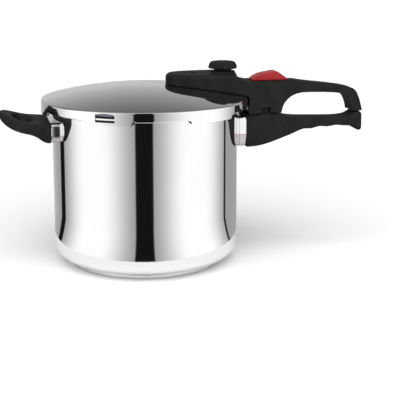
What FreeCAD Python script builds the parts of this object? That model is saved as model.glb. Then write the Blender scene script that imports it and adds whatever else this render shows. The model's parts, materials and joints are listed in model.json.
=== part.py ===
import FreeCAD, Part
import math
import os
import re

import Sketcher

# A lidded stainless-steel pressure canner. Millimetres and degrees, +Z up. The origin is on the
# vessel's axis at the surface it stands on; +X runs along the long handle and -Y is the front.

DIMENSIONS = (
    # vessel
    ("pot_radius", 111, "outside of the vessel's wall"),
    ("wall", 1, "thickness of the vessel's wall"),
    ("rim_top", 192.3, "top of the rolled rim"),
    ("rim_radius", 114, "outside of the rim between its lugs"),
    ("lug_radius", 119, "outside of the rim's lugs"),
    ("lug_thick", 1.5, "thickness of the rim and its lugs"),
    ("lug_half_angle", 14, "half of the angle that one lug spans"),
    ("lug_count", 6, "lugs on the rim and on the lid"),
    ("corner", 20, "outside radius where wall meets floor"),
    ("base_radius", 92, "outside of the sandwich base"),
    ("base_thick", 6, "height of the sandwich base"),
    ("skin", 0.8, "thickness of the base's steel skin"),
    # lid
    ("lid_radius", 124, "outside of the lid's skirt"),
    ("lid_wall", 1.2, "thickness of the lid"),
    ("shoulder", 201, "height where the dome meets the skirt"),
    ("edge_radius", 4, "rounding between dome and skirt"),
    ("dome_rise", 15, "height of the dome above the shoulder"),
    ("skirt_bottom", 185, "lower edge of the skirt"),
    ("lid_lug_top", 190, "upper face of the lid's inward lugs"),
    ("lid_lug_reach", 114.6, "inside radius of the lid's lugs"),
    ("relief", 1.6, "angle of the slot beside each lid lug"),
    ("window_low", 188.5, "lower edge of the gasket window"),
    ("window_tall", 10, "height of the gasket window"),
    ("window_half_angle", 5.4, "half of the angle that the window spans"),
    # things that pass through the dome
    ("valve_x", 96, "axis of the working valve"),
    ("pin_x", 60, "axis of the pressure pin"),
    ("screw_x", 74, "lid handle screws along X"),
    ("screw_y", 17, "lid handle screws either side of the middle"),
    ("valve_land", 203, "flat underside of the dome at the valve"),
    ("pin_land", 209.5, "flat underside of the dome at the pin"),
    ("screw_land", 207.3, "flat underside of the dome at the screws"),
    ("land_thick", 4.2, "thickness of the dome at those flats"),
    # handles
    ("ferrule_front", 120.5, "outer end of the long handle's ferrule"),
    ("ferrule_low", 139, "underside of the long handle's ferrule"),
    ("ferrule_high", 176.5, "top of the long handle's ferrule"),
    ("ferrule_half", 25, "half width of the long handle's ferrule"),
    ("side_front", 116, "outer end of the side handle's ferrule"),
    ("side_low", 153.5, "underside of the side handle's ferrule"),
    ("side_high", 176.7, "top of the side handle's ferrule"),
    ("side_half", 35, "half width of the side handle's ferrule"),
    ("ferrule_wall", 1.4, "thickness of both ferrules"),
    ("ferrule_round", 6, "corner radius of both ferrules"),
    ("seat_top", 177.4, "flat top of the long handle's root"),
    ("reach", 271, "end of the long handle"),
    ("side_reach", 174, "end of the side handle"),
    ("tab_inner", 142, "inside radius of the long handle's tab"),
    ("tab_outer", 152, "outside radius of the long handle's tab"),
    ("tab_top", 185, "top of the long handle's tab"),
    ("clearance", 0.5, "gap left between bodies that turn past each other"),
    ("tongue_low", 156, "underside of the long bracket's tongue"),
    ("tongue_thick", 5, "thickness of the long bracket's tongue"),
    ("tongue_half", 8, "half width of the long bracket's tongue"),
    ("tongue_end", 158, "end of the long bracket's tongue"),
    ("long_screw_x", 150, "axis of the long handle's screw"),
    ("side_screw_z", 169.5, "axis of the side handle's screw"),
    ("post_radius", 5, "radius of the side bracket's post"),
    ("post_end", 126, "end of the side bracket's post"),
    # lid handle, knob and latch
    ("head_top", 227.5, "top of the lid handle's head"),
    ("slide_top", 216.6, "flat that the slider moves on"),
    ("block_low", 178, "underside of the lid handle's block"),
    ("collar_top", 229.5, "top of the collar under the knob"),
    ("knob_radius", 17.5, "outside of the regulator knob"),
    ("knob_low", 230.4, "underside of the regulator knob"),
    ("knob_top", 240.5, "top of the regulator knob"),
    ("stem_radius", 9, "outside of the knob's stem"),
    ("stem_low", 216, "lower end of the knob's stem"),
    ("chamber_radius", 6.2, "inside of the knob's stem"),
    ("chamber_top", 236.5, "roof of the knob's chamber"),
    ("nozzle_radius", 4.1, "outside of the valve's tube"),
    ("nozzle_top", 221.4, "top of the valve's tube"),
    ("pin_radius", 3, "radius of the pressure pin"),
    ("latch_travel", 8, "stroke of the latch"),
    ("bar_low", 207, "underside of the latch bar"),
    ("bar_thick", 2.5, "thickness of the latch bar"),
    ("bar_half", 6, "half width of the latch bar"),
    ("bar_start", 112, "inner end of the latch bar"),
    ("bar_end", 158, "outer end of the latch bar"),
    ("channel_end", 181, "outer end of the latch channel"),
)

document = FreeCAD.newDocument("pressure_canner")
sheet = document.addObject("Spreadsheet::Sheet", "dims")
for row, (alias, value, note) in enumerate(DIMENSIONS, start=1):
    sheet.set(f"A{row}", note)
    sheet.set(f"B{row}", str(value))
    sheet.setAlias(f"B{row}", alias)
document.recompute()

ALIASES = {alias for alias, value, note in DIMENSIONS}
Vector = FreeCAD.Vector
UP = Vector(0, 0, 1)
nodes = []


# ---------------------------------------------------------------- sizes and sketches

def bound(formula):
    """A formula of alias names, as the document's own expression."""
    return re.sub(r"[a-z_]+", lambda m: "dims." + m[0] if m[0] in ALIASES else m[0], str(formula))


def size(formula):
    """The value that a formula of alias names has now."""
    return float(sheet.evalExpression(bound(formula)))


def keep(piece, label):
    """Name a finished sub-part and put it on the list that is exported."""
    piece.Label = label
    nodes.append(piece)
    return piece


def new_body(label):
    return keep(document.addObject("PartDesign::Body", label), label)


def origin_feature(body, role):
    return next(item for item in body.Origin.OriginFeatures if item.Role == role)


def new_sketch(body, plane, height=0):
    """An empty sketch on one of the body's own planes, raised along the plane's normal."""
    sketch = body.newObject("Sketcher::SketchObject", body.Label + "_outline")
    sketch.AttachmentSupport = [(origin_feature(body, plane), "")]
    sketch.MapMode = "FlatFace"
    sketch.setExpression("AttachmentOffset.Base.z", bound(height))
    return sketch


def arc_through(start, end, radius):
    """The short arc between two points; a positive radius has its centre on the left."""
    chord = end - start
    left = Vector(-chord.y, chord.x, 0).normalize()
    sag = abs(radius) - math.sqrt(radius * radius - chord.Length ** 2 / 4)
    side = -1 if radius > 0 else 1
    return Part.Arc(start, (start + end) / 2 + left * side * sag, end)


def draw(sketch, corners):
    """A closed outline. Each corner is (x, y) or (x, y, radius of the arc that leaves it)."""
    places = [Vector(size(corner[0]), size(corner[1]), 0) for corner in corners]
    ends = []
    for index, corner in enumerate(corners):
        start = places[index]
        stop = places[(index + 1) % len(places)]
        curved = len(corner) == 3
        edge = arc_through(start, stop, size(corner[2])) if curved else Part.LineSegment(start, stop)
        number = sketch.addGeometry(edge)
        forward = (sketch.getPoint(number, 1) - start).Length < (sketch.getPoint(number, 2) - start).Length
        ends.append((number, 1, 2) if forward else (number, 2, 1))
    for index, corner in enumerate(corners):
        number, first, last = ends[index]
        following, following_first, _ = ends[(index + 1) % len(ends)]
        sketch.addConstraint(Sketcher.Constraint("Coincident", number, last, following, following_first))
        for kind, formula, value in (("DistanceX", corner[0], places[index].x),
                                     ("DistanceY", corner[1], places[index].y)):
            rule = sketch.addConstraint(Sketcher.Constraint(kind, -1, 1, number, first, value))
            sketch.setExpression(f"Constraints[{rule}]", bound(formula))
        if len(corner) == 3:
            rule = sketch.addConstraint(Sketcher.Constraint("Radius", number, abs(size(corner[2]))))
            sketch.setExpression(f"Constraints[{rule}]", bound(str(corner[2]).lstrip("-")))
    return sketch


def draw_circle(sketch, x, y, radius):
    number = sketch.addGeometry(Part.Circle(Vector(size(x), size(y), 0), UP, size(radius)))
    for kind, formula in (("DistanceX", x), ("DistanceY", y)):
        rule = sketch.addConstraint(Sketcher.Constraint(kind, -1, 1, number, 3, size(formula)))
        sketch.setExpression(f"Constraints[{rule}]", bound(formula))
    rule = sketch.addConstraint(Sketcher.Constraint("Radius", number, size(radius)))
    sketch.setExpression(f"Constraints[{rule}]", bound(radius))
    return sketch


def rectangle(low_x, low_y, high_x, high_y):
    return [(low_x, low_y), (high_x, low_y), (high_x, high_y), (low_x, high_y)]


def rounded(low_x, low_y, high_x, high_y, radius):
    """A rectangle with round corners, as corners for draw()."""
    turn = f"({radius})"
    return [(f"{low_x} + {turn}", low_y), (f"{high_x} - {turn}", low_y, turn),
            (high_x, f"{low_y} + {turn}"), (high_x, f"{high_y} - {turn}", turn),
            (f"{high_x} - {turn}", high_y), (f"{low_x} + {turn}", high_y, turn),
            (low_x, f"{high_y} - {turn}"), (low_x, f"{low_y} + {turn}", turn)]


def sector(inner, outer, centre, half_angle):
    """A piece of a ring about the origin, as corners for draw()."""
    first = f"({centre} - {half_angle})"
    last = f"({centre} + {half_angle})"
    return [(f"({inner}) * cos({first})", f"({inner}) * sin({first})"),
            (f"({outer}) * cos({first})", f"({outer}) * sin({first})", outer),
            (f"({outer}) * cos({last})", f"({outer}) * sin({last})"),
            (f"({inner}) * cos({last})", f"({inner}) * sin({last})", f"-({inner})")]


# ---------------------------------------------------------------- features

def revolve(body, corners, cut=False):
    """Turn an outline of (radius, height) about the Z axis, adding or removing material."""
    sketch = draw(new_sketch(body, "XZ_Plane"), corners)
    feature = body.newObject("PartDesign::Groove" if cut else "PartDesign::Revolution", "turned")
    feature.Profile = sketch
    feature.ReferenceAxis = (sketch, ["V_Axis"])
    feature.Angle = 360
    return feature


def pad(body, sketch, length, cut=False, symmetric=False, backwards=False):
    """Push a sketch out along its normal, or cut that volume away."""
    feature = body.newObject("PartDesign::Pocket" if cut else "PartDesign::Pad", "pushed")
    feature.Profile = sketch
    feature.SideType = "Symmetric" if symmetric else "One side"
    feature.Reversed = backwards != cut
    feature.setExpression("Length", bound(length))
    return feature


def around(body, feature, count):
    """Repeat a feature round the vessel's axis."""
    pattern = body.newObject("PartDesign::PolarPattern", "repeated")
    pattern.Originals = [feature]
    pattern.Axis = (origin_feature(body, "Z_Axis"), [""])
    pattern.Angle = 360
    pattern.setExpression("Occurrences", bound(count))
    body.Tip = pattern
    return pattern


def cylinder(radius, length, x=0, y=0, z=0, axis=UP):
    """A Part cylinder whose sizes and place follow the sheet."""
    shape = document.addObject("Part::Cylinder", "round")
    shape.Placement = FreeCAD.Placement(Vector(), FreeCAD.Rotation(UP, axis))
    for name, formula in (("Radius", radius), ("Height", length), ("Placement.Base.x", x),
                          ("Placement.Base.y", y), ("Placement.Base.z", z)):
        shape.setExpression(name, bound(formula))
    return shape


def block(low, high):
    """A Part box between two corners given as formulas."""
    shape = document.addObject("Part::Box", "block")
    for name, axis, start, stop in zip(("Length", "Width", "Height"), "xyz", low, high):
        shape.setExpression(name, bound(f"({stop}) - ({start})"))
        shape.setExpression(f"Placement.Base.{axis}", bound(start))
    return shape


def join(*shapes):
    fused = document.addObject("Part::MultiFuse", "joined")
    fused.Shapes = list(shapes)
    return fused


def cut(base, *tools):
    """Base less its tools."""
    result = document.addObject("Part::Cut", "cut")
    result.Base = base
    result.Tool = tools[0] if len(tools) == 1 else join(*tools)
    return result


def ring(inner, outer, thick, x=0, y=0, z=0, axis=UP):
    """A washer or seal."""
    return cut(cylinder(outer, thick, x, y, z, axis), cylinder(inner, thick, x, y, z, axis))


def hexagon(across_flats, thick, x, y, z):
    shape = document.addObject("Part::Prism", "hexagon")
    shape.Polygon = 6
    for name, formula in (("Circumradius", f"({across_flats}) / 2 / cos(30)"), ("Height", thick),
                          ("Placement.Base.x", x), ("Placement.Base.y", y), ("Placement.Base.z", z)):
        shape.setExpression(name, bound(formula))
    return shape


def coil(radius, wire, pitch, length):
    """A compression spring wound about Z from the origin upwards, as one swept wire."""
    path = document.addObject("Part::Helix", "helix")
    path.Radius = radius
    path.Pitch = pitch
    path.Height = length
    section = document.addObject("Part::Circle", "wire")
    section.Radius = wire
    section.Placement = FreeCAD.Placement(Vector(radius, 0, 0), FreeCAD.Rotation(Vector(1, 0, 0), 90))
    sweep = document.addObject("Part::Sweep", "spring")
    sweep.Sections = [section]
    sweep.Spine = path
    sweep.Solid = True
    sweep.Frenet = True
    return sweep


def curve(points, closed=False):
    """A smooth curve through a few points."""
    spline = Part.BSplineCurve()
    spline.interpolate(Points=[Vector(*point) for point in points], PeriodicFlag=closed)
    return spline.toShape()


def slab(edges, direction):
    """The solid that a flat closed outline sweeps along a straight direction."""
    return Part.Face(Part.Wire(Part.__sortEdges__(edges))).extrude(direction)


def lines(points):
    """Straight edges from each point to the next."""
    return [Part.makeLine(Vector(*a), Vector(*b)) for a, b in zip(points, points[1:])]


def soften(shape, radius, chosen):
    """Round the edges whose bounding box passes a test."""
    return shape.makeFillet(radius, [edge for edge in shape.Edges if chosen(edge.BoundBox)])


def is_upper_edge(bounds):
    """True for the lid handle's upper edges and its end, but not for its base or its finger loop."""
    across = bounds.XLength < 0.1 and bounds.YLength > 20
    return bounds.ZMax > 205 and bounds.ZMin > size("seat_top") + 0.3 and not (across and bounds.XMin < 200)


def is_grip_edge(bounds):
    """True for all edges of the long handle but those of its root and the end of its flat seat."""
    across = bounds.XLength < 0.1 and bounds.YLength > 20
    return bounds.XMax > size("ferrule_front") + 1 and not (across and bounds.XMax < 200)


def is_loop_edge(bounds):
    """True for the side handle's rims, outside and round its finger hole, but not for its root."""
    return bounds.YLength > 40 and bounds.XMin < -size("side_front") - 1


def shaped(label, shape):
    """A moulded sub-part whose freeform shape is set directly."""
    piece = document.addObject("Part::Feature", label)
    piece.Shape = shape
    piece.Placement = FreeCAD.Placement()
    return keep(piece, label)


# ---------------------------------------------------------------- vessel

def make_vessel_body():
    """Drawn pot with a flat rolled rim and six bayonet lugs."""
    body = new_body("vessel_body")
    revolve(body, [
        (0, "base_thick"),
        ("pot_radius - corner", "base_thick", "corner"),
        ("pot_radius", "base_thick + corner"),
        ("pot_radius", "rim_top - lug_thick"),
        ("rim_radius", "rim_top - lug_thick"),
        ("rim_radius", "rim_top"),
        ("pot_radius - wall", "rim_top"),
        ("pot_radius - wall", "base_thick + corner", "-(corner - wall)"),
        ("pot_radius - corner", "base_thick + wall"),
        (0, "base_thick + wall"),
    ])
    lug = draw(new_sketch(body, "XY_Plane", "rim_top - lug_thick"),
               sector("pot_radius + 0.5", "lug_radius", 30, "lug_half_angle"))
    around(body, pad(body, lug, "lug_thick"), "lug_count")


def make_base():
    """Heat-spreading base: an aluminium disc closed in by a thin steel skin."""
    core = new_body("base_core")
    revolve(core, rectangle(0, "skin", "base_radius - skin", "base_thick"))
    shell = new_body("base_skin")
    revolve(shell, [
        (0, 0),
        ("base_radius - 1.5", 0, 1.5),
        ("base_radius", 1.5),
        ("base_radius", "base_thick"),
        ("base_radius - skin", "base_thick"),
        ("base_radius - skin", "skin"),
        (0, "skin"),
    ])


def hug_wall(body):
    """Cut a fitting's back face to the curve of the vessel's wall."""
    tool = body.newObject("PartDesign::SubtractiveCylinder", "wall_curve")
    tool.setExpression("Radius", bound("pot_radius"))
    tool.setExpression("Height", bound("rim_top"))
    return tool


def make_ferrule(label, side, front, low, high, half, opening):
    """Polished cup between wall and handle, open to the wall, with a hole for the bracket."""
    body = new_body(label)
    depth = f"{front} - pot_radius + 14"
    outside = draw(new_sketch(body, "YZ_Plane", f"{side} * {front}"),
                   rounded(f"-{half}", low, half, high, "ferrule_round"))
    pad(body, outside, depth, backwards=side > 0)
    inside = draw(new_sketch(body, "YZ_Plane", f"{side} * ({front} - ferrule_wall)"),
                  rounded(f"-{half} + ferrule_wall", f"{low} + ferrule_wall", f"{half} - ferrule_wall",
                          f"{high} - ferrule_wall", "ferrule_round - ferrule_wall"))
    pad(body, inside, depth, cut=True, backwards=side > 0)
    hole = draw(new_sketch(body, "YZ_Plane", f"{side} * {front}"), opening)
    pad(body, hole, "ferrule_wall", cut=True, backwards=side > 0)
    hug_wall(body)


def make_long_bracket():
    """Welded steel bracket: a curved foot on the wall and a tapped tongue into the long handle."""
    body = new_body("long_handle_bracket")
    foot = draw(new_sketch(body, "YZ_Plane", "pot_radius + 2"), rectangle(-15, 146, 15, 171))
    pad(body, foot, 8, backwards=True)
    tongue = draw(new_sketch(body, "YZ_Plane", "pot_radius"),
                  rectangle("-tongue_half", "tongue_low", "tongue_half", "tongue_low + tongue_thick"))
    pad(body, tongue, "tongue_end - pot_radius")
    hug_wall(body)
    hole = draw_circle(new_sketch(body, "XY_Plane", "tongue_low"), "long_screw_x", 0, 2.5)
    pad(body, hole, "tongue_thick", cut=True)


def make_side_bracket():
    """Welded steel bracket: a curved foot on the wall and a tapped round post into the side handle."""
    body = new_body("side_handle_bracket")
    foot = draw(new_sketch(body, "YZ_Plane", "-(pot_radius + 2)"), rectangle(-20, 157, 20, 174))
    pad(body, foot, 8)
    post = draw_circle(new_sketch(body, "YZ_Plane", "-pot_radius"), 0, "side_screw_z", "post_radius")
    pad(body, post, "post_end - pot_radius", backwards=True)
    hug_wall(body)
    hole = draw_circle(new_sketch(body, "YZ_Plane", "-post_end"), 0, "side_screw_z", 2.5)
    pad(body, hole, 12, cut=True)


def tube_sector(inner, outer, low, high):
    """A whole ring about the vessel's axis."""
    return Part.makeCylinder(outer, high - low, Vector(0, 0, low)).cut(
        Part.makeCylinder(inner, high - low, Vector(0, 0, low)))


def long_handle_flank():
    """The long handle seen from its side: deep root, waved grip and hooked end."""
    root_x = size("ferrule_front")
    end_x = size("reach")
    seat = size("seat_top")
    top = lines([(root_x, -60, seat), (160, -60, seat)])
    top.append(curve([(160, -60, seat), (166, -60, 175.8), (174, -60, 172.6), (188, -60, 170.6),
                      (215, -60, 169.9), (247, -60, 169.8), (256, -60, 171.6), (263, -60, 175.2),
                      (268, -60, 175.6), (end_x, -60, 171)]))
    underside = curve([(end_x, -60, 152), (266.5, -60, 151.8), (259, -60, 156.6), (249, -60, 157.9),
                       (238, -60, 158.8), (227, -60, 157.4), (217, -60, 158), (206, -60, 155.8),
                       (197, -60, 155.8), (187, -60, 152.8), (164, -60, 145.4), (145, -60, 140.4),
                       (root_x, -60, 138)])
    ends = lines([(end_x, -60, 171), (end_x, -60, 152)]) + lines([(root_x, -60, 138), (root_x, -60, seat)])
    return slab(top + [underside] + ends, Vector(0, 120, 0))


def make_long_handle():
    """Moulded handle: deep root, slim waved grip, hooked end, and a tab that indexes the lid handle."""
    root_x = size("ferrule_front")
    end_x = size("reach")
    half = size("ferrule_half")
    outline = curve([(root_x, half, 0), (145, 23.6, 0), (165, 19.4, 0), (187, 15.4, 0), (206, 14, 0),
                     (248, 14, 0), (262, 15, 0), (end_x, 14.6, 0)])
    mirrored = outline.mirror(Vector(), Vector(0, 1, 0))
    footprint = slab([outline, mirrored] + lines([(root_x, half, 0), (root_x, -half, 0)])
                     + lines([(end_x, 14.6, 0), (end_x, -14.6, 0)]), UP * 60)
    footprint.translate(UP * 130)
    grip = soften(footprint.common(long_handle_flank()), 3.6, is_grip_edge)
    seat = size("seat_top")
    tab = tube_sector(size("tab_inner"), size("tab_outer"), seat - 8, size("tab_top"))
    tab = tab.common(Part.makeBox(40, 34, 60, Vector(130, -17, 150)))
    tongue = Part.makeBox(size("tongue_end") - root_x + 0.6, 2 * size("tongue_half") + 0.6,
                          size("tongue_thick") + 0.4,
                          Vector(root_x - 0.3, -size("tongue_half") - 0.3, size("tongue_low") - 0.2))
    screw_x = size("long_screw_x")
    counterbore = Part.makeCylinder(5.3, 21, Vector(screw_x, 0, 130))
    screw_hole = Part.makeCylinder(2.7, 20, Vector(screw_x, 0, 140))
    shaped("long_handle", grip.fuse(tab).cut(tongue.fuse([counterbore, screw_hole])))


def plan_outline(points, end_x):
    """Edges of a plan outline that is the same on both sides and closed by a straight end."""
    mirrored = [(x, -y, z) for x, y, z in reversed(points[1:])]
    outline = curve(mirrored + points)
    last = points[-1]
    return [outline] + lines([last, (end_x, last[1], 0), (end_x, -last[1], 0), (last[0], -last[1], 0)])


def make_side_handle():
    """Moulded loop handle with an oval finger hole, rising towards its rounded end."""
    front = -size("side_front")
    tip = -size("side_reach")
    plan = [(tip, 0, 0), (tip + 5, 22, 0), (tip + 15, 34.5, 0), (tip + 31, 40, 0),
            (tip + 46, 39, 0), (front - 3, 36, 0)]
    loop = slab(plan_outline(plan, front), Vector(0, 0, 80))
    loop.translate(Vector(0, 0, 130))
    top = curve([(front, -60, 176.9), (-128, -60, 177.2), (-141, -60, 178.3), (-152, -60, 181),
                 (-163, -60, 185.2), (tip - 1, -60, 189.6)])
    underside = curve([(tip - 1, -60, 183.5), (-170, -60, 177.5), (-161, -60, 171.6),
                       (-150, -60, 167.6), (-133, -60, 162.2), (-125, -60, 156.4), (front, -60, 154)])
    flank = slab([top, underside] + lines([(tip - 1, -60, 183.5), (tip - 1, -60, 189.6)])
                 + lines([(front, -60, 154), (front, -60, 176.9)]), Vector(0, 120, 0))
    loop = loop.common(flank)
    finger_hole = Part.Face(Part.Wire(curve(
        [(-147 + 12.5 * math.cos(a), 25 * math.sin(a), 140) for a in
         [math.radians(30 * k) for k in range(12)]], closed=True))).extrude(Vector(0, 0, 60))
    loop = soften(loop.cut(finger_hole), 2.8, is_loop_edge)
    axis_z = size("side_screw_z")
    inward = Vector(1, 0, 0)
    post = Part.makeCylinder(size("post_radius") + 0.2, size("post_end") + front + 0.4,
                             Vector(-size("post_end") - 0.2, 0, axis_z), inward)
    counterbore = Part.makeCylinder(4.8, 10, Vector(-140, 0, axis_z), inward)
    screw_hole = Part.makeCylinder(2.7, 12, Vector(-135, 0, axis_z), inward)
    shaped("side_handle", loop.cut(post.fuse([counterbore, screw_hole])))


def make_handle_fasteners():
    """Cross-head machine screws and plain washers that hold the two vessel handles."""
    x = "long_screw_x"
    head = cylinder(4.6, 3, x, 0, 147)
    shank = cylinder(2.45, 11, x, 0, 150)
    recess = [block((f"{x} - {a}", f"-{b}", 146.9), (f"{x} + {a}", b, 148.6)) for a, b in ((2.6, 0.5), (0.5, 2.6))]
    keep(cut(join(head, shank), *recess), "long_handle_screw")
    keep(ring(2.7, 5.1, 1, x, 0, 150), "long_handle_washer")
    z = "side_screw_z"
    outward = Vector(1, 0, 0)
    head = cylinder(4.2, 2.6, -133.6, 0, z, outward)
    shank = cylinder(2.45, 14, -131, 0, z, outward)
    recess = [block((-133.7, f"-{a}", f"{z} - {b}"), (-132.2, a, f"{z} + {b}")) for a, b in ((2.4, 0.5), (0.5, 2.4))]
    keep(cut(join(head, shank), *recess), "side_handle_screw")
    keep(ring(2.7, 4.6, 1, -131, 0, z, outward), "side_handle_washer")


# ---------------------------------------------------------------- lid

def dome_radius(outset):
    """Radius of the sphere that the dome's outer face lies on, grown by an outset."""
    chord = size("lid_radius - edge_radius")
    rise = size("dome_rise")
    return (chord * chord + rise * rise) / (2 * rise) + outset


def make_lid_shell():
    """Domed lid with a skirt, six inward lugs, a gasket window and flats where fittings pass."""
    body = new_body("lid_shell")
    chord = "(lid_radius - edge_radius)"
    sphere = f"(({chord}^2 + dome_rise^2) / (2 * dome_rise))"
    revolve(body, [
        (0, "shoulder + dome_rise", f"-{sphere}"),
        (chord, "shoulder", "-edge_radius"),
        ("lid_radius", "shoulder - edge_radius"),
        ("lid_radius", "skirt_bottom"),
        ("lid_radius - lid_wall", "skirt_bottom"),
        ("lid_radius - lid_wall", "shoulder - edge_radius", "(edge_radius - lid_wall)"),
        (chord, "shoulder - lid_wall", f"{sphere}"),
        (0, "shoulder + dome_rise - lid_wall"),
    ])
    gap = draw(new_sketch(body, "XY_Plane", "skirt_bottom"),
               sector("lid_radius - lid_wall - 1", "lid_radius + 1", 30, "(lug_half_angle + relief)"))
    around(body, pad(body, gap, "lid_lug_top - lid_wall - skirt_bottom", cut=True), "lug_count")
    lug = draw(new_sketch(body, "XY_Plane", "lid_lug_top - lid_wall"),
               sector("lid_lug_reach", "lid_radius", 30, "lug_half_angle"))
    around(body, pad(body, lug, "lid_wall"), "lug_count")
    window = draw(new_sketch(body, "XY_Plane", "window_low"),
                  sector("lid_radius - lid_wall - 1", "lid_radius + 1", 240, "window_half_angle"))
    pad(body, window, "window_tall", cut=True)
    for x, y, low, radius, bore in LID_FLATS:
        flat = draw_circle(new_sketch(body, "XY_Plane", low), x, y, radius)
        pad(body, flat, "land_thick")
        hole = draw_circle(new_sketch(body, "XY_Plane", low), x, y, bore)
        pad(body, hole, "land_thick + 4", cut=True)


# x, y, underside, radius and bore of each flat in the dome
LID_FLATS = (
    ("valve_x", 0, "valve_land", 12, "nozzle_radius + 0.1"),
    ("pin_x", 0, "pin_land", 9, "pin_radius + 0.05"),
    ("screw_x", "screw_y", "screw_land", 6.5, 2.2),
    ("screw_x", "-screw_y", "screw_land", 6.5, 2.2),
)


def make_gasket():
    """Silicone ring of channel section, lips inward, held between lid and rim."""
    body = new_body("gasket")
    low = "rim_top + 0.3"
    high = "shoulder - lid_wall - 0.7"
    revolve(body, [
        ("rim_radius - 1", low),
        ("lid_radius - lid_wall - 0.8", low),
        ("lid_radius - lid_wall - 0.8", f"{high} - 1.6"),
        ("lid_radius - lid_wall - 2.6", high),
        ("rim_radius - 1", high),
        ("rim_radius - 1", f"{high} - 1.6"),
        ("lid_radius - lid_wall - 3.6", f"{high} - 1.9"),
        ("lid_radius - lid_wall - 3.6", f"{low} + 1.9"),
        ("rim_radius - 1", f"{low} + 1.4"),
    ])


def lid_space():
    """Everything at or inside the lid's outer face, grown by the gap that the handle keeps."""
    gap = 0.2
    centre = size("shoulder + dome_rise") - dome_radius(0)
    ball = Part.makeSphere(dome_radius(gap), Vector(0, 0, centre))
    drum = Part.makeCylinder(size("lid_radius") + 1.6, 250, UP * 0)
    return ball.common(drum)


def handle_head():
    """Lid handle before its openings: a wide round head, a block and a slim grip with an end post."""
    end_x = size("reach") + 1
    plan = [(26, 0, 0), (29, 14, 0), (38, 23.5, 0), (54, 28.5, 0), (78, 30.5, 0), (104, 30, 0),
            (126, 26.5, 0), (146, 22.5, 0), (165, 18.8, 0), (184, 15.4, 0), (205, 14, 0)]
    footprint = slab(plan_outline(plan, end_x), UP * 80)
    footprint.translate(UP * 160)
    head = size("head_top")
    flat = size("slide_top")
    low = size("block_low")
    post_low = size("seat_top") - 0.9
    top = lines([(20, -60, head), (98, -60, head)])
    top.append(curve([(98, -60, head), (106, -60, 225.6), (116, -60, 220.5), (128, -60, flat)]))
    top += lines([(128, -60, flat), (186, -60, flat)])
    top.append(curve([(186, -60, flat), (194, -60, 215.2), (218, -60, 212), (240, -60, 209),
                      (254, -60, 206.2), (262, -60, 202.6), (266, -60, 196.6), (269, -60, 189),
                      (end_x, -60, 178)]))
    rest = lines([(end_x, -60, 178), (end_x, -60, post_low), (250, -60, post_low), (250, -60, low),
                  (20, -60, low), (20, -60, head)])
    return footprint.common(slab(top + rest, Vector(0, 120, 0)))


def finger_loop():
    """The opening under the grip that fingers go through."""
    low = 170
    arch = curve([(165.5, -60, low), (166.3, -60, 180), (169.4, -60, 188.3), (174.6, -60, 194.4),
                  (182, -60, 198.8), (191, -60, 201), (204, -60, 201.4), (228, -60, 200.6),
                  (241, -60, 199.2), (249.8, -60, 195.6), (254, -60, 189.4), (257, -60, 180),
                  (257.4, -60, low)])
    return slab([arch] + lines([(257.4, -60, low), (165.5, -60, low)]), Vector(0, 120, 0))


def make_lid_handle():
    """Moulded lid handle: head over the dome, block over the long handle, grip and finger loop."""
    valve_x = size("valve_x")
    gap = size("clearance")
    travel = size("latch_travel")
    body = soften(handle_head().cut(finger_loop()), 5, is_upper_edge).cut(lid_space())
    collar_top = size("collar_top")
    collar = Part.makeCone(18.5, 14.5, 8, Vector(valve_x, 0, collar_top - 8))
    body = body.fuse(collar)
    floor = size("valve_land + land_thick") + 3
    tools = [
        Part.makeCylinder(size("stem_radius") + 0.4, 40, Vector(valve_x, 0, floor)),
        Part.makeCylinder(size("nozzle_radius") + 0.3, 40, Vector(valve_x, 0, floor - 20)),
        Part.makeCylinder(12.3, floor - 3.2 - 180, Vector(valve_x, 0, 180.4)),
        Part.makeCylinder(size("pin_radius") + 0.35, 60, Vector(size("pin_x"), 0, 180)),
        Part.makeCylinder(5.6, 221.5 - 180, Vector(size("pin_x"), 0, 180)),
        Part.makeCylinder(9.3, size("pin_land + land_thick") + 0.2 - 180, Vector(size("pin_x"), 0, 180)),
        tube_sector(size("tab_inner") - gap, size("tab_outer") + gap, 160, size("tab_top") + gap),
    ]
    for side in (-1, 1):
        place = Vector(size("screw_x"), side * size("screw_y"), 180)
        tools.append(Part.makeCylinder(2.05, 41, place))
        tools.append(Part.makeCylinder(6.8, size("screw_land + land_thick") + 0.2 - 180, place))
    bar = size("bar_half") + 0.4
    tools.append(Part.makeBox(size("channel_end") - 111, 2 * bar, 7, Vector(111, -bar, size("bar_low") - 0.6)))
    tools.append(Part.makeBox(14 + travel + 1.2, 8.8, 12, Vector(145.4, -4.4, size("bar_low"))))
    tools.append(Part.makeBox(6 + travel + 1.2, 10.8, 40, Vector(143.4, -5.4, 170)))
    shaped("lid_handle", body.cut(Part.makeCompound(tools)))


def make_lid_fasteners():
    """Two pan-head screws from inside the lid, each on a silicone sealing washer."""
    screws = []
    seals = []
    for side in ("", "-"):
        y = f"{side}screw_y"
        screws.append(cylinder(4.4, 2, "screw_x", y, "screw_land - 3"))
        screws.append(cylinder(2, 12.5, "screw_x", y, "screw_land - 1"))
        seals.append(ring(2.1, 5, 1, "screw_x", y, "screw_land - 1"))
    slots = [block(("screw_x - 3", f"{side}screw_y - 0.5", "screw_land - 3.1"),
                   ("screw_x + 3", f"{side}screw_y + 0.5", "screw_land - 2.1")) for side in ("", "-")]
    keep(cut(join(*screws), *slots), "lid_handle_screws")
    keep(join(*seals), "lid_screw_seals")


# ---------------------------------------------------------------- working valve

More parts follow.
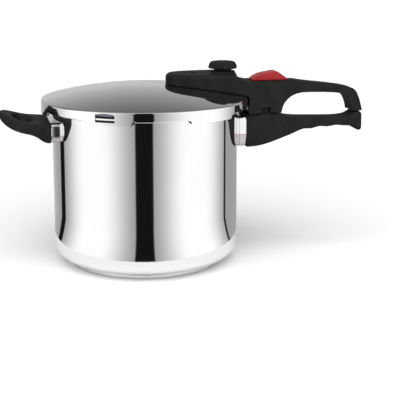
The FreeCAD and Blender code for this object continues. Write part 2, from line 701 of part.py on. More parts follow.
def make_valve():
    """Valve tube through the dome with its seal, nut and strainer."""
    x = "valve_x"
    tube = join(cylinder("nozzle_radius", "nozzle_top - valve_land + 3", x, 0, "valve_land - 3"),
                cylinder(9, 1.6, x, 0, "valve_land - 3"))
    keep(cut(tube, cylinder(1.6, 40, x, 0, "valve_land - 10")), "valve_body")
    keep(ring("nozzle_radius + 0.05", 8, 1.4, x, 0, "valve_land - 1.4"), "valve_seal")
    floor = "valve_land + land_thick + 3"
    nut = cut(hexagon(13, 4.4, x, 0, floor), cylinder("nozzle_radius + 0.05", 10, x, 0, f"{floor} - 2"))
    keep(nut, "valve_nut")
    cup = cut(cylinder(7.5, 6, x, 0, "valve_land - 9"), cylinder(6.7, 6, x, 0, "valve_land - 8.2"))
    slots = [block((f"{x} - {a}", f"-{b}", "valve_land - 8"), (f"{x} + {a}", b, "valve_land - 4.4"))
             for a, b in ((9, 1.2), (1.2, 9))]
    keep(cut(cup, *slots), "valve_strainer")


def make_regulator_knob():
    """Pressure selector: a scalloped cap on a hollow stem that turns in the lid handle's collar."""
    body = new_body("regulator_knob")
    body.setExpression("Placement.Base.x", bound("valve_x"))
    revolve(body, [
        ("chamber_radius", "stem_low"),
        ("stem_radius", "stem_low"),
        ("stem_radius", "knob_low"),
        ("knob_radius", "knob_low"),
        ("knob_radius", "knob_low + 2.6"),
        ("knob_radius - 2.4", "knob_top - 1.6"),
        ("knob_radius - 4.4", "knob_top"),
        (0, "knob_top"),
        (0, "chamber_top"),
        ("chamber_radius", "chamber_top"),
    ])
    scallop = draw_circle(new_sketch(body, "XY_Plane", "knob_low"), "knob_radius + 1.4", 0, 3)
    around(body, pad(body, scallop, "knob_top - knob_low - 2.4", cut=True), 10)


def make_relief():
    """Spring-loaded plunger that closes the valve's tube from above."""
    x = "valve_x"
    plunger = join(cylinder(5.2, 3.6, x, 0, "nozzle_top + 0.2"), cylinder(2.2, 6.4, x, 0, "nozzle_top + 0.2"))
    keep(plunger, "relief_plunger")
    spring = coil(3.4, 0.4, 2, 9.4)
    spring.setExpression("Placement.Base.x", bound(x))
    spring.setExpression("Placement.Base.z", bound("nozzle_top + 4.5"))
    keep(spring, "relief_spring")


def make_pressure_pin():
    """Pressure indicator: a pin that rises through the lid handle, its seal and its clip."""
    x = "pin_x"
    shaft = cylinder("pin_radius", "head_top - 1 - pin_land + 6", x, 0, "pin_land - 6")
    collar = cylinder(5.2, 1.4, x, 0, "pin_land - 6")
    keep(join(shaft, collar), "pressure_pin")
    keep(ring("pin_radius + 0.02", 5, 2, x, 0, "pin_land - 4.6"), "pressure_pin_seal")
    keep(ring("pin_radius + 0.02", 4.8, 0.8, x, 0, "pin_land + land_thick + 0.1"), "pressure_pin_clip")


# ---------------------------------------------------------------- latch

def make_latch():
    """Latch bar with a leg that points at the long handle's tab, and the thumb slider on top."""
    bar = new_body("latch_bar")
    top = "bar_low + bar_thick"
    plate = draw(new_sketch(bar, "XY_Plane", "bar_low"),
                 rectangle("bar_start", "-bar_half", "bar_end", "bar_half"))
    pad(bar, plate, "bar_thick")
    leg = draw(new_sketch(bar, "XY_Plane", "tab_top + 1.5"), rectangle(144, -5, 150, 5))
    pad(bar, leg, "bar_low - tab_top - 1")
    neck = draw(new_sketch(bar, "XY_Plane", f"{top} - 0.5"), rectangle(146, -4, 160, 4))
    pad(bar, neck, f"slide_top + 3.2 - ({top} - 0.5)")
    slider = new_body("slider_button")
    low = "slide_top + 0.4"
    hump = draw(new_sketch(slider, "XZ_Plane"), [
        (131.4, low), (175.8, low), (175.8, f"{low} + 1.4"), (164.4, f"{low} + 9.4", 8),
        (158.4, f"{low} + 10.6"), (149, f"{low} + 9", 36), (131.4, f"{low} + 2")])
    pad(slider, hump, 18, symmetric=True)
    pocket = draw(new_sketch(slider, "XY_Plane", low), rectangle(145.9, -4.1, 160.1, 4.1))
    pad(slider, pocket, 2.8, cut=True)
    spring = coil(2.8, 0.4, 3.4, 19.8)
    spring.Placement = FreeCAD.Placement(Vector(), FreeCAD.Rotation(Vector(0, 1, 0), 90))
    spring.setExpression("Placement.Base.x", bound("bar_end + 1.6"))
    spring.setExpression("Placement.Base.z", bound("bar_low + 2.9"))
    keep(spring, "latch_spring")


# ---------------------------------------------------------------- build, check, write

def check_document():
    """Stop if any object failed or any sub-part is not a sound solid."""
    failed = [item.Label for item in document.Objects if {"Invalid", "Error"} & set(item.State)]
    if failed:
        raise SystemExit("failed objects: " + ", ".join(failed))
    for piece in nodes:
        if piece.Shape.isNull() or not piece.Shape.isValid() or not piece.Shape.Solids:
            raise SystemExit("unsound shape: " + piece.Label)


def write_nodes():
    os.makedirs("parts", exist_ok=True)
    for piece in nodes:
        piece.Shape.exportStep(f"parts/{piece.Label}.step")
        bounds = piece.Shape.BoundBox
        print(f"{piece.Label:24s} solids {len(piece.Shape.Solids)} volume {piece.Shape.Volume:10.1f} "
              f"x {bounds.XMin:7.1f} {bounds.XMax:7.1f} y {bounds.YMin:7.1f} {bounds.YMax:7.1f} "
              f"z {bounds.ZMin:6.1f} {bounds.ZMax:6.1f}")


make_vessel_body()
make_base()
LONG_OPENING = rectangle("-tongue_half - 0.3", "tongue_low - 0.3", "tongue_half + 0.3",
                         "tongue_low + tongue_thick + 0.3")
SIDE_OPENING = rectangle("-post_radius - 0.3", "side_screw_z - post_radius - 0.3", "post_radius + 0.3",
                         "side_screw_z + post_radius + 0.3")
make_ferrule("long_handle_ferrule", 1, "ferrule_front", "ferrule_low", "ferrule_high", "ferrule_half",
             LONG_OPENING)
make_ferrule("side_handle_ferrule", -1, "side_front", "side_low", "side_high", "side_half", SIDE_OPENING)
make_long_bracket()
make_side_bracket()
make_long_handle()
make_side_handle()
make_handle_fasteners()
make_lid_shell()
make_gasket()
make_lid_handle()
make_lid_fasteners()
make_valve()
make_regulator_knob()
make_relief()
make_pressure_pin()
make_latch()
document.recompute()
check_document()
write_nodes()
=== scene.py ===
"""Looks of the pressure canner: finished meshes, materials, stage, light and camera."""
import json
import math

import bmesh
import bpy
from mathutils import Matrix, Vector


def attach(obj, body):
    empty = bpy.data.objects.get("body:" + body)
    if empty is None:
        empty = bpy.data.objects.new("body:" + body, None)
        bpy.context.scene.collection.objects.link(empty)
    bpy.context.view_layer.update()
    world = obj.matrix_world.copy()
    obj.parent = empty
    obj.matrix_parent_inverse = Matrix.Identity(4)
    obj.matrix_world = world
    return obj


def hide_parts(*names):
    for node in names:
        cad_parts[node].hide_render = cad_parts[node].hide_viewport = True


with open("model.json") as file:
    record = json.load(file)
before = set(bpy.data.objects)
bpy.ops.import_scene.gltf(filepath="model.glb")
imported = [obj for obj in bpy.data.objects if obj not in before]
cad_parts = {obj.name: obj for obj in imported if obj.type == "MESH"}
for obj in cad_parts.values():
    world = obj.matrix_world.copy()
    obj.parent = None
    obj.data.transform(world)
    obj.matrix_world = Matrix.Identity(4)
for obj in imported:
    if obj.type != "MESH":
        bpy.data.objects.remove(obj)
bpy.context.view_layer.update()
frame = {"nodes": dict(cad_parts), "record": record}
MM = 0.001

# the main sizes, in millimetres, and the azimuths of the gasket window's two sides, in degrees
POT = 111
BORE = 110
SKIRT = 124
CROWN = 216
BALL = 487.5
WINDOW = (234.6, 245.4)


# ---------------------------------------------------------------- materials

def add(tree, kind, settings=None, **inputs):
    """A new shader node; an input's underscores stand for spaces, and a socket value is linked."""
    node = tree.nodes.new("ShaderNode" + kind)
    for name, value in (settings or {}).items():
        setattr(node, name, value)
    for name, value in inputs.items():
        socket = node.inputs[name.replace("_", " ")]
        if isinstance(value, bpy.types.NodeSocket):
            tree.links.new(value, socket)
        else:
            socket.default_value = value
    return node


def noise(tree, place, stretch, scale, detail=3.0):
    """Cloud noise from 0 to 1 in object space, stretched along the axes."""
    spread = add(tree, "Mapping", Vector=place, Scale=stretch)
    return add(tree, "TexNoise", Vector=spread.outputs["Vector"], Scale=scale, Detail=detail).outputs["Fac"]


def between(tree, factor, low, high):
    """A number that runs from low to high as the noise does."""
    span = add(tree, "MapRange", Value=factor)
    for name, value in (("From Min", 0.3), ("From Max", 0.7), ("To Min", low), ("To Max", high)):
        span.inputs[name].default_value = value
    return span.outputs["Result"]


def shades(tree, factor, dark, light):
    """A colour that runs from dark to light as the noise does."""
    ramp = add(tree, "ValToRGB", Fac=factor)
    ramp.color_ramp.elements[0].position = 0.3
    ramp.color_ramp.elements[0].color = (*dark, 1)
    ramp.color_ramp.elements[1].position = 0.7
    ramp.color_ramp.elements[1].color = (*light, 1)
    return ramp.outputs["Color"]


def finish(name, dark, light, roughness, stretch=(1, 1, 1), scale=60, grain=(1, 1, 1), grain_scale=900,
           bump=0.1, depth=0.00002, constants=None):
    """A surface with cloudy colour, uneven gloss and fine relief, all in object space."""
    item = bpy.data.materials.new(name)
    item.use_nodes = True
    tree = item.node_tree
    tree.nodes.clear()
    place = add(tree, "TexCoord").outputs["Object"]
    cloud = noise(tree, place, stretch, scale)
    relief = noise(tree, place, grain, grain_scale, 2.0)
    normal = add(tree, "Bump", Strength=bump, Distance=depth, Height=relief).outputs["Normal"]
    shader = add(tree, "BsdfPrincipled", Base_Color=shades(tree, cloud, dark, light),
                 Roughness=between(tree, cloud, *roughness), Normal=normal)
    for socket, value in (constants or {}).items():
        shader.inputs[socket].default_value = value
    output = add(tree, "OutputMaterial")
    tree.links.new(shader.outputs["BSDF"], output.inputs["Surface"])
    return item


METAL = {"Metallic": 1.0}
finishes = {
    "mirror_steel": finish("mirror_steel_look", (0.80, 0.80, 0.80), (0.85, 0.845, 0.84), (0.035, 0.06),
                           scale=14, grain_scale=25, bump=0.02, depth=0.00005, constants=METAL),
    "satin_steel": finish("satin_steel_look", (0.56, 0.56, 0.57), (0.70, 0.70, 0.70), (0.22, 0.34),
                          stretch=(1, 1, 60), scale=30, grain=(1, 1, 40), grain_scale=40, bump=0.08,
                          constants={"Metallic": 1.0, "Anisotropic": 0.5}),
    "aluminium": finish("aluminium_look", (0.62, 0.62, 0.64), (0.72, 0.72, 0.74), (0.35, 0.5), scale=200,
                        constants=METAL),
    "black_phenolic": finish("black_phenolic_look", (0.011, 0.011, 0.0114), (0.017, 0.017, 0.0174),
                             (0.44, 0.54), scale=70, grain_scale=1400, bump=0.12, depth=0.00003,
                             constants={"Specular IOR Level": 0.02}),
    "red_plastic": finish("red_plastic_look", (0.25, 0.005, 0.009), (0.31, 0.009, 0.014), (0.28, 0.38),
                          scale=90, grain_scale=1200, bump=0.06, constants={"Specular IOR Level": 0.3}),
    "silicone": finish("silicone_look", (0.12, 0.12, 0.135), (0.17, 0.17, 0.185), (0.45, 0.6), scale=120,
                       grain_scale=1500, bump=0.1, constants={"Sheen Weight": 0.15}),
    "spring_steel": finish("spring_steel_look", (0.50, 0.50, 0.51), (0.62, 0.62, 0.63), (0.2, 0.32),
                           scale=400, constants=METAL),
}
# painted shade: a darker copy of the lid's steel for its inside and cut rims, which lie in shadow
finishes["inner_steel"] = finish("inner_steel_look", (0.20, 0.20, 0.205), (0.30, 0.30, 0.305), (0.3, 0.42),
                                 scale=50, grain_scale=300, constants=METAL)
finishes["ferrule"] = finish("ferrule_look", (0.74, 0.735, 0.73), (0.80, 0.795, 0.79), (0.12, 0.17), scale=60,
                             grain=(40, 1, 1), grain_scale=60, bump=0.05, constants=METAL)
# painted shade: a darker, warmer copy of the ferrule steel for the downward facet under the crease; its
# higher roughness is a duller finish
finishes["ferrule_facet"] = finish("ferrule_facet_look", (0.47, 0.44, 0.44), (0.54, 0.51, 0.51), (0.25, 0.32),
                                   scale=60, grain=(40, 1, 1), grain_scale=60, bump=0.05, constants=METAL)
for entry in frame["record"]["subparts"]:
    piece = frame["nodes"][entry["node"]]
    piece.data.materials.clear()
    piece.data.materials.append(finishes[entry["material_slot"]])


# ---------------------------------------------------------------- mesh tools

def new_piece(name, slot_name, points, faces):
    """A mesh object from points in millimetres, with coinciding points joined and faces turned outward."""
    mesh = bpy.data.meshes.new(name)
    mesh.from_pydata([[c * MM for c in point] for point in points], [], faces)
    work = bmesh.new()
    work.from_mesh(mesh)
    bmesh.ops.remove_doubles(work, verts=work.verts, dist=0.00001)
    bmesh.ops.recalc_face_normals(work, faces=work.faces)
    work.to_mesh(mesh)
    work.free()
    mesh.shade_smooth()
    mesh.materials.append(finishes[slot_name])
    piece = bpy.data.objects.new(name, mesh)
    bpy.context.scene.collection.objects.link(piece)
    return piece


def settle(piece, angle=35):
    """Apply the modifiers of a piece and mark the edges sharper than an angle."""
    graph = bpy.context.evaluated_depsgraph_get()
    mesh = bpy.data.meshes.new_from_object(piece.evaluated_get(graph))
    piece.modifiers.clear()
    piece.data = mesh
    mesh.shade_smooth()
    mesh.set_sharp_from_angle(angle=math.radians(angle))


def bevel(piece, width, segments=2, angle=35):
    """Ease the sharp edges of a piece."""
    ease = piece.modifiers.new("ease", "BEVEL")
    ease.width = width * MM
    ease.segments = segments
    ease.limit_method = "ANGLE"
    ease.angle_limit = math.radians(angle)


def dent(piece, x, y, z, radius, depth):
    """Press a shallow round dimple into a piece, towards +Y."""
    for vertex in piece.data.vertices:
        off = math.hypot(vertex.co.x / MM - x, vertex.co.z / MM - z) / radius
        if off < 1 and vertex.co.y / MM < y:
            vertex.co.y += depth * MM * (1 - off * off)


def stand_in(piece, body, *names):
    """The piece rides on a body and is shown in place of CAD nodes."""
    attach(piece, body)
    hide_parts(*names)


def arc(centre, radius, start, stop, steps):
    """Points on an arc in the (radius, height) plane, angles in degrees."""
    angles = [math.radians(start + (stop - start) * k / steps) for k in range(steps + 1)]
    return [(centre[0] + radius * math.cos(a), centre[1] + radius * math.sin(a)) for a in angles]


def grid(rows, closed=True):
    """Points and quads of a grid given row by row."""
    wide = len(rows[0])
    faces = []
    for r in range(len(rows) - 1):
        for c in range(wide if closed else wide - 1):
            d = (c + 1) % wide
            faces.append((r * wide + c, r * wide + d, (r + 1) * wide + d, (r + 1) * wide + c))
    return [point for row in rows for point in row], faces


def turned(profile, columns, centre=0.0, reach=None):
    """Rows of points from a (radius, height) profile turned about an upright axis at x = centre."""
    rows = []
    for index, (radius, height) in enumerate(profile):
        row = []
        for c in range(columns):
            angle = 2 * math.pi * c / columns
            length = reach(index, radius, angle) if reach else radius
            row.append((centre + length * math.cos(angle), length * math.sin(angle), height))
        rows.append(row)
    return rows


def moulded(node, slot_name, body, voxel, rounds):
    """A copy of a CAD node with its edges eased all over, as a moulding has them."""
    source = frame["nodes"][node].data
    points = [[c / MM for c in vertex.co] for vertex in source.vertices]
    faces = [tuple(face.vertices) for face in source.polygons]
    piece = new_piece(node + "_moulding", slot_name, points, faces)
    remesh = piece.modifiers.new("remesh", "REMESH")
    remesh.mode = "VOXEL"
    remesh.voxel_size = voxel * MM
    remesh.use_smooth_shade = True
    ease = piece.modifiers.new("ease", "SMOOTH")
    ease.factor = 0.5
    ease.iterations = rounds
    settle(piece, 60)
    stand_in(piece, body, node)
    return piece


# ---------------------------------------------------------------- vessel

def lug_weight(angle):
    """1 inside the six rim lugs, 0 between them, with a short run between the two."""
    off = abs(math.degrees(angle) % 60 - 30)
    return min(1.0, max(0.0, (14.2 - off) / 0.4))


def make_pot():
    """Drawn pot: mirror outside, satin inside, with a rolled rim that carries six lugs."""
    outside = [(0, 6)] + [(r, 6) for r in range(10, 91, 10)]
    outside += arc((91, 26), 20, -90, 0, 24) + [(POT, 26 + k * 8) for k in range(1, 21)] + [(POT, 190.4)]
    rim = [(111.2, 190.8), (113.5, 190.8), (114, 191.2), (114, 191.9), (113.5, 192.3), (110.6, 192.3),
           (BORE, 191.7)]
    inside = [(BORE, 186 - k * 8) for k in range(20)] + arc((91, 26), 19, 0, -90, 16)
    inside += [(r, 7) for r in range(80, 0, -10)] + [(0, 7)]
    first = len(outside) + 1

    def reach(index, radius, angle):
        return radius + (5 * lug_weight(angle) if first <= index <= first + 3 else 0)

    piece = new_piece("pot", "mirror_steel", *grid(turned(outside + rim + inside, 720, reach=reach)))
    piece.data.materials.append(finishes["satin_steel"])
    for face in piece.data.polygons:
        middle = face.center
        radius = math.hypot(middle.x, middle.y) / MM
        inward = face.normal.dot(Vector((middle.x, middle.y, -0.05))) < 0
        if middle.z > 0.1907 or middle.z > 0.0065 and radius < 110.3 and inward:
            face.material_index = 1
    piece.data.set_sharp_from_angle(angle=math.radians(50))
    stand_in(piece, "vessel", "vessel_body")


def make_base():
    """Sandwich base: a steel skin round an aluminium disc."""
    skin = [(0, 0), (60, 0), (90.2, 0)] + arc((90.2, 1.8), 1.8, -90, 0, 8) + [(92, 5.4), (91.8, 6), (91.2, 6)]
    skin += [(91.2, 0.8), (0, 0.8)]
    piece = new_piece("base_cap", "satin_steel", *grid(turned(skin, 360)))
    piece.data.set_sharp_from_angle(angle=math.radians(35))
    stand_in(piece, "vessel", "base_skin")


def rounded_loop(half, low, high, radius, crease):
    """A rounded rectangle in the (y, z) plane, notched on both sides, its lower edge undivided."""
    notch = [(crease + 0.5, 0), (crease + 0.15, 0.6), (crease - 0.15, 0.6), (crease - 0.5, 0)]
    sides = [(half - radius, high - radius, 0, []),
             (-half + radius, high - radius, 90, [(-half + deep, z) for z, deep in notch]),
             (-half + radius, low + radius, 180, []),
             (half - radius, low + radius, 270, [(half - deep, z) for z, deep in reversed(notch)])]
    loop = []
    for y, z, start, extra in sides:
        loop += arc((y, z), radius, start, start + 90, 14) + extra
    dense = []
    for k, (y, z) in enumerate(loop):
        next_y, next_z = loop[(k + 1) % len(loop)]
        upper_edge = z > crease and abs(z - next_z) < 0.01
        parts = 12 if upper_edge else 1
        dense += [(y + (next_y - y) * p / parts, z + (next_z - z) * p / parts) for p in range(parts)]
    return dense


def make_ferrule(name, node, side, front, low, high, half, crease, groove):
    """Polished cup: a flange on the wall, a fine groove, a flat band and a duller facet under a crease,
    painted darker as painted shade.
    """
    steps = [(0, 0.1), (0.03, 0.0), (0.2, 0.0), (0.23, groove / 3), (0.25, groove), (0.27, groove / 3),
             (0.3, 0.0), (0.6, -0.1), (0.9, 0.05), (0.96, 0.35), (1.0, 1.0), (1.0, 2.4), (0.9, 2.4),
             (0.5, 2.0), (0.1, 1.6), (0.0, 1.6)]
    rows = []
    for along, inset in steps:
        row = []
        for y, z in rounded_loop(half - inset, low + inset, high - inset, 6 - inset * 0.6, low + crease):
            under = max(0.0, (low + crease - z) / crease)
            y *= 1 - 0.09 * under * 25 / half
            wall = math.sqrt((POT + 0.05) ** 2 - y * y)
            row.append((side * (wall + (front - 0.05 - wall) * along), y, z))
        rows.append(row)
    piece = new_piece(name, "mirror_steel", *grid(rows + rows[:1]))
    piece.data.materials[0] = finishes["ferrule"]
    piece.data.materials.append(finishes["ferrule_facet"])
    # faces under the crease get the darker steel copy: painted shade
    for face in piece.data.polygons:
        if face.center.z < (low + crease) * MM:
            face.material_index = 1
    piece.data.set_sharp_from_angle(angle=math.radians(11))
    stand_in(piece, "vessel", node)


make_pot()
make_base()
make_ferrule("long_ferrule", "long_handle_ferrule", 1, 120.5, 139, 176.5, 25, 15, 0.5)
make_ferrule("side_ferrule", "side_handle_ferrule", -1, 116, 153.5, 176.7, 35, 8, 0.0)
dent(moulded("long_handle", "black_phenolic", "vessel", 0.7, 6), 168.5, -10, 161.5, 2.4, 1.6)
moulded("side_handle", "black_phenolic", "vessel", 0.7, 6)


# ---------------------------------------------------------------- lid

LUG, SLOT, PLAIN = "lug", "slot", "plain"


def lid_cells():
    """Angles round the lid, closer at its lugs, slots and window, and the kind of edge between each two."""
    marks = {round(0.5 * k, 3) for k in range(720)}
    for k in range(6):
        for end in (14, 15.6, 15.85, 16.2, 16.7):
            marks |= {round((30 + 60 * k + sign * end) % 360, 3) for sign in (-1, 1)}
    marks |= set(WINDOW)
    order = sorted(marks)
    cells = []
    for start, stop in zip(order, order[1:] + [order[0] + 360]):
        off = abs(((start + stop) / 2) % 60 - 30)
        kind = LUG if off < 14 else SLOT if off < 15.6 else PLAIN
        cells.append((start, stop, kind))
    return cells


def lid_edge(kind, angle):
    """The lower part of the lid's profile, from the skirt down to its edge or in along a lug."""
    if kind == LUG:
        return arc((122.4, 190.4), 1.6, 0, -90, 4) + [(119.8, 188.8), (117.2, 188.8), (114.6, 188.8)]
    if kind == SLOT:
        return [(SKIRT, z) for z in (190.4, 190.1, 189.8, 189.5, 189.2, 188.9, 188.85, 188.8)]
    off = abs(angle % 60 - 30) - 15.6
    rise = 2.2 * (1 - math.sqrt(max(0.0, 1 - (1 - min(off, 1.1) / 1.1) ** 2)))
    return [(SKIRT, z) for z in (190.4, 189.4, 188.5, 187.9, 187.3, 186.7 + rise * 0.3, 185.8 + rise * 0.7,
                                 185 + rise)]


def ball_top(radius):
    """Height of the dome's outer face at a distance from the axis."""
    return CROWN - BALL + math.sqrt(BALL ** 2 - radius * radius)


def arched(angle, height):
    """Height of a point of the skirt, let down towards the corners of the window's arched top."""
    low, high = WINDOW
    off = abs(angle - (low + high) / 2) / ((high - low) / 2)
    if off > 1.001 or not 190 < height < 198.6:
        return height
    return height - 1.4 * off * off * (height - 190) / 8.5


def make_lid():
    """Domed lid with a skirt, inward lugs between relief slots, and the gasket window; its inside and cut
    rims are painted darker as painted shade.
    """
    upper = [(r, ball_top(r)) for r in [0, 1] + list(range(3, 120, 3))]
    upper += [(120.6, ball_top(120.6))] + arc((121.4, 197.96), 2.6, 75.2, 12, 8)
    upper += [(SKIRT, z) for z in (197.9, 197, 195, 193, 191.5)]
    window_top = next(k for k, (r, z) in enumerate(upper) if r > 120 and abs(z - 198.5) < 0.01)
    points = []
    faces = []
    for start, stop, kind in lid_cells():
        columns = [upper + lid_edge(kind, angle) for angle in (start, stop)]
        base = len(points)
        for angle, column in zip((start, stop), columns):
            turn = math.radians(angle)
            points += [(r * math.cos(turn), r * math.sin(turn), arched(angle, z)) for r, z in column]
        tall = len(columns[0])
        open_here = WINDOW[0] <= start and stop <= WINDOW[1]
        for k in range(tall - 1):
            if open_here and window_top <= k <= len(upper) + 1:
                continue
            faces.append((base + k, base + k + 1, base + tall + k + 1, base + tall + k))
    piece = new_piece("lid", "mirror_steel", points, faces)
    thick = piece.modifiers.new("thick", "SOLIDIFY")
    thick.thickness = 1.2 * MM
    thick.offset = -1
    thick.use_even_offset = True
    # the inside and the cut rims take the second material, a darker steel: painted shade
    thick.material_offset = 1
    thick.material_offset_rim = 1
    piece.data.materials.append(finishes["inner_steel"])
    bevel(piece, 0.25)
    settle(piece)
    stand_in(piece, "lid", "lid_shell")
    return piece


def make_gasket():
    """Silicone ring of channel section, soft-lipped, its outer faces below the step painted black as painted
    shade.
    """
    section = [(113.2, 192.8), (115, 192.6), (119.4, 192.6), (119.6, 193), (119.6, 195.2), (121.6, 195.2),
               (122, 195.6), (122, 197.2), (121.6, 197.8),
               (120.6, 198.9), (120, 199.1), (113.4, 199.1), (113, 198.7), (113.1, 197.8), (113.6, 197.5),
               (118.6, 197.2), (119.2, 196.6), (119.2, 195), (118.6, 194.5), (113.6, 194.1), (113, 193.6)]
    points, faces = grid(turned(section + section[:1], 360))
    piece = new_piece("gasket_ring", "silicone", points, faces)
    piece.data.set_sharp_from_angle(angle=math.radians(60))
    # painted shade: the outer faces below the channel's step take the black plastic look, for the shadowed
    # gap under the gasket
    piece.data.materials.append(finishes["black_phenolic"])
    for face in piece.data.polygons:
        if face.center.z < 0.19525 and face.center.xy.length > 0.1194:
            face.material_index = 1
    stand_in(piece, "lid", "gasket")


def make_slot_shade_sheets():
    """Black slanted sheets that close the relief slots from behind, and a low one behind the window: painted
    shade where these gaps lie in shadow.
    """
    points = []
    faces = []
    slant = ((14.1, 190.2, 188.3), (14.8, 189.6, 187.3), (15.6, 188.4, 185.8), (16.4, 187.2, 185.4))
    shade_sheets = [[(30 + 60 * k + sign * end, top, bottom) for end, top, bottom in slant]
            for k in range(6) for sign in (-1, 1)]
    shade_sheets.append([(234 + k, 190.7, 187.6) for k in range(13)])
    round_the_section = ((121.3, False), (121.3, True), (122.2, True), (122.2, False), (121.3, False))
    for sheet in shade_sheets:
        turns = [(math.radians(angle), top, bottom) for angle, top, bottom in sheet]
        rows = [[(radius * math.cos(a), radius * math.sin(a), bottom if low else top)
                 for a, top, bottom in turns] for radius, low in round_the_section]
        more, quads = grid(rows, closed=False)
        faces += [tuple(len(points) + corner for corner in quad) for quad in quads]
        points += more
    # the sheets take the black plastic look as painted shade
    piece = new_piece("slot_shade_sheets", "black_phenolic", points, faces)
    piece.data.set_sharp_from_angle(angle=math.radians(40))
    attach(piece, "lid")


def make_knob():
    """Regulator knob: soft scallops round a shallow dished top, on its hollow stem."""
    outside = [(6.2, 216), (9, 216), (9, 230.2), (10.6, 230.5), (11, 231.4), (12.4, 231.9), (16.4, 232.4),
               (17.3, 232.8), (17.5, 233.5), (17.3, 234.8), (16.7, 236.4), (15.9, 238.2), (15.1, 239.4),
               (14.1, 240.2), (12.9, 240.5), (11.6, 240.4), (10.8, 239.9), (10.2, 239.6), (6, 239.5),
               (2, 239.5), (0, 239.5)]
    depth = [0] * 6 + [1.7] * 5 + [1.5, 1.1, 0.6, 0.2] + [0] * 6
    inside = [(0, 236.5), (6.2, 236.5), (6.2, 216)]

    def reach(index, radius, angle):
        if index >= len(depth) or not depth[index]:
            return radius
        wave = math.cos(10 * angle)
        return radius - depth[index] * max(0.0, wave) ** 1.6

    piece = new_piece("knob", "black_phenolic", *grid(turned(outside + inside, 400, 96, reach)))
    piece.data.set_sharp_from_angle(angle=math.radians(50))
    stand_in(piece, "regulator", "regulator_knob")


make_lid()
make_gasket()
make_slot_shade_sheets()
make_knob()
moulded("lid_handle", "black_phenolic", "lid", 0.8, 6)
moulded("slider_button", "red_plastic", "latch", 0.35, 8)


# ---------------------------------------------------------------- stage, light and camera

def make_floor():
    """A wide pale floor."""
    rows = [[(x * 1000, y * 1000, 0) for x in range(-60, 61, 5)] for y in range(-60, 61, 5)]
    points, faces = grid(rows, closed=False)
    mesh = bpy.data.meshes.new("floor")
    mesh.from_pydata([[c * MM for c in point] for point in points], [], faces)
    mesh.materials.append(finish("floor_look", (0.875, 0.875, 0.875), (0.89, 0.89, 0.89), (0.8, 0.9), scale=3,
                                 grain_scale=300, bump=0.02, constants={"Specular IOR Level": 0.0}))
    floor = bpy.data.objects.new("floor", mesh)
    bpy.context.scene.collection.objects.link(floor)


# the studio ring that glossy surfaces see: brightness of its wall, softboxes (azimuth, brightness added) and
# black flags (azimuth, half width), in degrees
WALL = 0.4
SOFTBOXES = ((-155, 0.8), (-45, 0.8), (100, 0.2))
FLAGS = ((-100, 9), (0, 2), (155, 5))


def calc(tree, operation, *values):
    """The result of a math node on numbers or socket values."""
    node = add(tree, "Math", {"operation": operation})
    for socket, value in zip(node.inputs, values):
        if isinstance(value, bpy.types.NodeSocket):
            tree.links.new(value, socket)
        else:
            socket.default_value = value
    return node.outputs["Value"]


def lobe(tree, turn, azimuth, full, gone):
    """1 up to full degrees from an azimuth, falling smoothly to 0 where it is gone."""
    ahead = calc(tree, "SUBTRACT", turn, (azimuth + 180) / 360)
    off = calc(tree, "ABSOLUTE", calc(tree, "WRAP", ahead, 0.5, -0.5))
    fade = add(tree, "MapRange", {"interpolation_type": "SMOOTHSTEP"}, Value=off)
    for name, value in (("From Min", full / 360), ("From Max", gone / 360), ("To Min", 1), ("To Max", 0)):
        fade.inputs[name].default_value = value
    return fade.outputs["Result"]


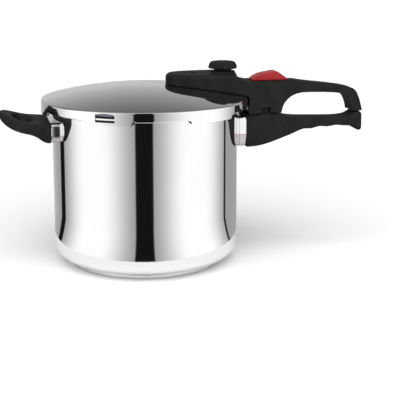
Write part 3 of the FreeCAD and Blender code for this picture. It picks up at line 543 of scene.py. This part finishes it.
def make_tent():
    """A ring of pale walls with softboxes and black flags that only glossy surfaces see."""
    item = bpy.data.materials.new("tent_look")
    item.use_nodes = True
    tree = item.node_tree
    tree.nodes.clear()
    place = add(tree, "TexCoord").outputs["Object"]
    turn = add(tree, "TexGradient", {"gradient_type": "RADIAL"}, Vector=place).outputs["Fac"]
    level = WALL
    for azimuth, extra in SOFTBOXES:
        level = calc(tree, "MULTIPLY_ADD", lobe(tree, turn, azimuth, 10, 50), extra, level)
    for azimuth, half in FLAGS:
        shade = calc(tree, "MULTIPLY_ADD", lobe(tree, turn, azimuth, half - 1, half + 1), -0.98, 1)
        level = calc(tree, "MULTIPLY", level, shade)
    glow = add(tree, "Emission", Strength=level)
    output = add(tree, "OutputMaterial")
    tree.links.new(glow.outputs["Emission"], output.inputs["Surface"])
    turns = [math.radians(k) for k in range(360)]
    # radius, height, and how much higher the ring stands in front
    section = ((190, 0.3, 0), (250, 0.3, 0), (320, 0.3, 0), (320, 260, 0), (320, 260, 500))
    rows = [[(radius * math.cos(a), radius * math.sin(a), height + front * max(0.0, -math.sin(a)) ** 0.5)
             for a in turns] for radius, height, front in section]
    points, faces = grid(rows)
    mesh = bpy.data.meshes.new("tent")
    mesh.from_pydata([[c * MM for c in point] for point in points], [], faces)
    mesh.materials.append(item)
    tent = bpy.data.objects.new("tent", mesh)
    bpy.context.scene.collection.objects.link(tent)
    tent.visible_camera = False
    tent.visible_diffuse = False
    tent.visible_shadow = False
    tent.visible_transmission = False


def make_sun():
    """Wide soft light from above the front left."""
    light = bpy.data.lights.new("sun", "SUN")
    light.energy = 3.7
    light.angle = math.radians(80)
    sun = bpy.data.objects.new("sun", light)
    sun.rotation_euler = Vector((0.2, 0.9, -1)).to_track_quat("-Z", "Y").to_euler()
    sun.visible_glossy = False
    bpy.context.scene.collection.objects.link(sun)


def make_world():
    """Studio surroundings: light near the horizon, dark above it and paler overhead."""
    world = bpy.data.worlds.new("studio")
    world.use_nodes = True
    tree = world.node_tree
    tree.nodes.clear()
    upward = add(tree, "SeparateXYZ", Vector=add(tree, "TexCoord").outputs["Generated"]).outputs["Z"]
    ramp = add(tree, "ValToRGB", Fac=upward)
    stops = ramp.color_ramp.elements
    for height, level in ((0.0, 0.98), (0.05, 0.98), (0.13, 0.62), (0.25, 0.5), (0.62, 0.16), (0.72, 0.16),
                          (0.88, 0.35), (1.0, 0.5)):
        stop = stops.new(height) if 0 < height < 1 else stops[0 if height < 0.5 else len(stops) - 1]
        stop.color = (level, level, level * 1.01, 1)
    back = add(tree, "Background", Color=ramp.outputs["Color"], Strength=1.0)
    output = add(tree, "OutputWorld")
    tree.links.new(back.outputs["Background"], output.inputs["Surface"])
    bpy.context.scene.world = world


def make_camera():
    data = bpy.data.cameras.new("camera")
    data.lens = 102.4
    data.sensor_width = 36
    data.shift_y = -0.125
    camera = bpy.data.objects.new("camera", data)
    camera.location = (-0.212, -1.34, 0.403)
    turned_right = math.radians(11.8)
    tipped_down = math.radians(11.2)
    camera.rotation_euler = (math.pi / 2 - tipped_down, 0, -turned_right)
    bpy.context.scene.collection.objects.link(camera)
    bpy.context.scene.camera = camera


make_floor()
make_tent()
make_sun()
make_world()
make_camera()
bpy.context.scene.view_settings.view_transform = "Standard"
